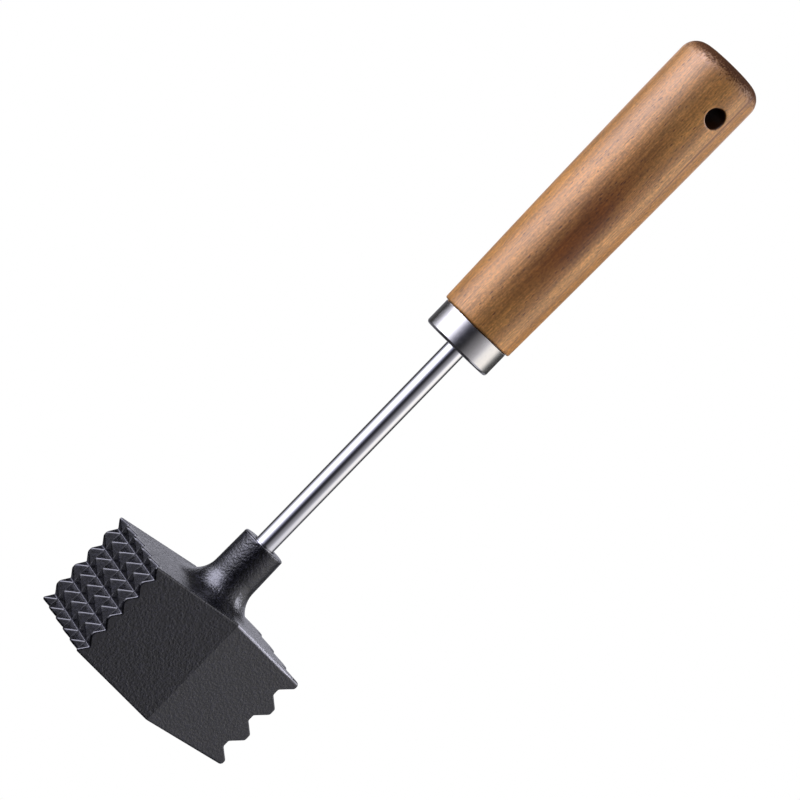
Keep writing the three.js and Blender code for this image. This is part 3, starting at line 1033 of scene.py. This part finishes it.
# Studio: angles are degrees, round the rod's axis from the camera, positive to its right, and rise
CAMERA_TURN = math.radians(CAMERA_AZIMUTH - 90)
# Light round the mallet, at its own level and higher up: turn, strength, colour
LEVEL_LIGHT = [
    (-180, 0.2, "f4f4ff"),
    (-160, 0.2, "f4f4ff"),
    (-138, 0.05, "ffffff"),
    (-126, 0.05, "ffffff"),
    (-118, 0.2, "f2f2ff"),
    (-110, 0.48, "f2f2ff"),
    (-102, 0.8, "f2f2ff"),
    (-94, 1.15, "f2f2ff"),
    (-86, 1.6, "f2f2ff"),
    (-78, 2.3, "f2f2ff"),
    (-70, 2.6, "f2f2ff"),
    (-50, 2.3, "f2f2ff"),
    (-42, 1.8, "f0f0ff"),
    (-34, 1.25, "eeeeff"),
    (-26, 0.58, "e6e6ff"),
    (-18, 0.26, "e0e0ff"),
    (-10, 0.05, "dcdcff"),
    (6, 0.035, "f0f0ff"),
    (14, 0.09, "f4f2ff"),
    (24, 0.22, "f6f4ff"),
    (38, 0.32, "f8f6ff"),
    (50, 0.46, "f8f6ff"),
    (58, 0.6, "f8f6ff"),
    (66, 0.98, "fcfaff"),
    (74, 1.3, "fffcfa"),
    (98, 1.42, "fffaf5"),
    (106, 1.1, "fffaf5"),
    (114, 0.5, "ffffff"),
    (123, 0.16, "ffffff"),
    (132, 0.05, "ffffff"),
    (165, 0.05, "ffffff"),
    (180, 0.2, "f4f4ff"),
]
HIGH_LIGHT = [
    (-180, 0.1, "ffffff"),
    (-122, 0.05, "ffffff"),
    (-110, 0.12, "ffffff"),
    (-102, 0.8, "eaeaff"),
    (-92, 7.5, "eaeaff"),
    (-70, 11.5, "eaeaff"),
    (-50, 8.0, "eaeaff"),
    (-38, 3.7, "eaeaff"),
    (-26, 0.8, "e6e6ff"),
    (-16, 0.2, "e0e0ff"),
    (-8, 0.04, "dcdcff"),
    (14, 0.03, "f0f0ff"),
    (26, 0.1, "f8f6ff"),
    (38, 0.45, "f8f6ff"),
    (52, 1.3, "f8f6ff"),
    (66, 1.6, "f8f6ff"),
    (84, 1.7, "fcfaff"),
    (112, 1.3, "fcfaff"),
    (130, 0.6, "ffffff"),
    (150, 0.1, "ffffff"),
    (180, 0.1, "ffffff"),
]
# Rises between which the light changes to the higher one, the ceiling's and the ground's
HIGH_LIGHT_RISE = (-3, 13)
CEILING_RISE = (54, 74)
CEILING_LIGHT = (0.13, "f6f6ff")
GROUND_RISE = (-4, -28)
GROUND_LIGHT = (0.035, "eeeeff")
# Cards round the mallet: turn from, turn to, rise from, rise to, soft edge, strength
CARD_COLOUR = "f0f0ff"
CARDS = [
    (150, 210, 3, 17, 6, 1.05),
    (88, 132, 30, 48, 6, 7.5),
    (160, 200, -60, -14, 8, 0.35),
    (239, 253, 7, 21, 5, 4.0),
    (286, 343, -34, -8, 5, 0.04),
    (62, 116, -45, -5, 3, 0.72),
    (136, 178, -26, -5, 6, 0.3),
    (204, 282, -46, -18, 6, 0.16),
]
# Soft suns that light matt skins only: name, turn, rise, strength, colour
SUN_WIDTH = 50
MATT_SUNS = [
    ("left", -80, 18, 2.75, "f8f8ff"),
    ("right", 100, 18, 2.4, "fffdfa"),
    ("front", 5, 25, 0.8, "ffffff"),
    ("back", 180, 25, 1.6, "ffffff"),
]
FLOOR_HALF = 4000
FLOOR_SINK = 0.02


def lit(strength, tint):
    """Linear colour of light with a strength and a tint."""
    return [strength * c for c in colour(tint)[:3]] + [1.0]


def ramp_between(tree, value, low, top):
    """0 below the low angle and 1 above the top one, or the other way round, in degrees."""
    return add(
        tree,
        MAP_RANGE,
        {"Value": value, "From Min": math.radians(low), "From Max": math.radians(top)},
        interpolation_type="SMOOTHSTEP",
    )


def studio():
    """White backdrop to the camera. Glossy surfaces see a large soft light at the left, a weaker
    one at the right, and dark in front and beside the backdrop, so that the metal keeps its dark
    core and outline. Matt surfaces are lit by wide suns."""
    world = bpy.data.worlds.new("studio")
    bpy.context.scene.world = world
    world.use_nodes = True
    world.cycles_visibility.diffuse = False
    tree = world.node_tree
    tree.nodes.clear()
    where = add(tree, "ShaderNodeTexCoord")
    from_camera = add(
        tree,
        "ShaderNodeMapping",
        {"Vector": where.outputs["Generated"], "Rotation": (0, 0, -CAMERA_TURN)},
    )
    xyz = add(tree, "ShaderNodeSeparateXYZ", {0: from_camera})
    angle = add(tree, MATH, {0: xyz.outputs[1], 1: xyz.outputs[0]}, operation="ARCTAN2")
    ring = add(tree, MAP_RANGE, {"Value": angle, "From Min": -math.pi, "From Max": math.pi})
    height = add(tree, MATH, {0: xyz.outputs[2]}, operation="ARCSINE")
    level, high = (
        add(
            tree,
            "ShaderNodeValToRGB",
            {0: ring},
            stops=[((turn + 180) / 360, lit(strength, tint)) for turn, strength, tint in lights],
        )
        for lights in (LEVEL_LIGHT, HIGH_LIGHT)
    )
    light = level
    for (low, top), other in (
        (HIGH_LIGHT_RISE, high),
        (CEILING_RISE, lit(*CEILING_LIGHT)),
        (GROUND_RISE, lit(*GROUND_LIGHT)),
    ):
        share = ramp_between(tree, height, low, top)
        light = add(tree, MIX, {0: share, 6: light, 7: other}, data_type="RGBA")

    # Cards, their turns counted from 0 to 360 so that one may stand right behind the mallet
    full_turn = add(tree, MATH, {0: angle, 1: math.tau}, operation="ADD")
    round_turn = add(tree, MATH, {0: full_turn, 1: math.tau}, operation="MODULO")
    for turn_from, turn_to, rise_from, rise_to, soft, strength in CARDS:
        share = None
        for value, low, top in (
            (round_turn, turn_from - soft, turn_from + soft),
            (round_turn, turn_to + soft, turn_to - soft),
            (height, rise_from - soft / 2, rise_from + soft / 2),
            (height, rise_to + soft / 2, rise_to - soft / 2),
        ):
            edge = ramp_between(tree, value, low, top)
            share = add(tree, MATH, {0: share, 1: edge}, operation="MULTIPLY") if share else edge
        light = add(tree, MIX, {0: share, 6: light, 7: lit(strength, CARD_COLOUR)}, data_type="RGBA")
    seen, backdrop = (
        add(tree, "ShaderNodeBackground", {"Color": shown}) for shown in (light, colour("ffffff"))
    )
    ray = add(tree, "ShaderNodeLightPath")
    split = add(tree, "ShaderNodeMixShader", {0: ray.outputs["Is Camera Ray"], 1: seen, 2: backdrop})
    add(tree, "ShaderNodeOutputWorld", {"Surface": split})

    for name, turn, rise, strength, tint in MATT_SUNS:
        lamp = bpy.data.lights.new(f"{name} sun", "SUN")
        lamp.energy = strength
        lamp.angle = math.radians(SUN_WIDTH)
        lamp.color = colour(tint)[:3]
        hung = placed(f"{name} sun", lamp)
        hung.visible_glossy = False
        heading = CAMERA_TURN + math.radians(turn)
        up = math.radians(rise)
        towards = Vector((math.cos(heading) * math.cos(up), math.sin(heading) * math.cos(up), math.sin(up)))
        hung.rotation_mode = "QUATERNION"
        hung.rotation_quaternion = towards.to_track_quat("Z", "Y")


def floor_sheet():
    """White paper under the mallet, which only the camera sees."""
    paper = bpy.data.materials.new("white paper sweep")
    paper.use_nodes = True
    tree = paper.node_tree
    tree.nodes.clear()
    glow = add(tree, "ShaderNodeEmission", {"Color": colour("ffffff")})
    add(tree, "ShaderNodeOutputMaterial", {"Surface": glow})
    half = FLOOR_HALF * MM
    corners = [(-half, -half, 0), (half, -half, 0), (half, half, 0), (-half, half, 0)]
    floor = placed("floor", mesh_from("floor", corners, [[0, 1, 2, 3]], paper))
    floor.location.z = -FLOOR_SINK * MM
    floor.visible_diffuse = False
    floor.visible_glossy = False
    floor.visible_shadow = False


def camera():
    """Stands where the photograph was taken from, rolled so that the mallet lies corner to corner."""
    azimuth, rise, roll = (math.radians(a) for a in (CAMERA_AZIMUTH, CAMERA_RISE, CAMERA_ROLL))
    back = Vector((math.sin(azimuth) * math.cos(rise), -math.cos(azimuth) * math.cos(rise), math.sin(rise)))
    right = (-back).cross(Vector((0, 0, 1))).normalized()
    up = right.cross(-back)
    middle = Vector((0, 0, CAMERA_HEIGHT)) + right * CAMERA_ASIDE
    across = right * math.cos(roll) + up * math.sin(roll)
    along = up * math.cos(roll) - right * math.sin(roll)
    data = bpy.data.cameras.new("camera")
    data.sensor_width = CAMERA_SENSOR
    data.lens = CAMERA_FOCAL_LENGTH
    data.clip_start = 0.01
    data.clip_end = 50
    made = placed("camera", data)
    turn = Matrix((across, along, back)).transposed().to_4x4()
    made.matrix_world = Matrix.Translation((middle + back * CAMERA_DISTANCE) * MM) @ turn
    bpy.context.scene.camera = made


camera()
studio()
floor_sheet()
bpy.context.scene.view_settings.view_transform = "Standard"

LATHE = turning_tree()
TEETH = tooth_tree()

finished("head.look", head_mesh(spark_eroded_nylon()))
finished("shaft_rod.look", rod_mesh(polished_stainless()))
cup = turned("ferrule.look", ferrule_profile(), FERRULE_SIDES, satin_stainless())
finished("ferrule.look", cup)
finished("handle.look", handle_mesh(oiled_acacia()))

for node, steel in (("head_core", bar_steel()), ("core_pin", spring_steel())):
    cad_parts[node].data.materials.clear()
    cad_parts[node].data.materials.append(steel)
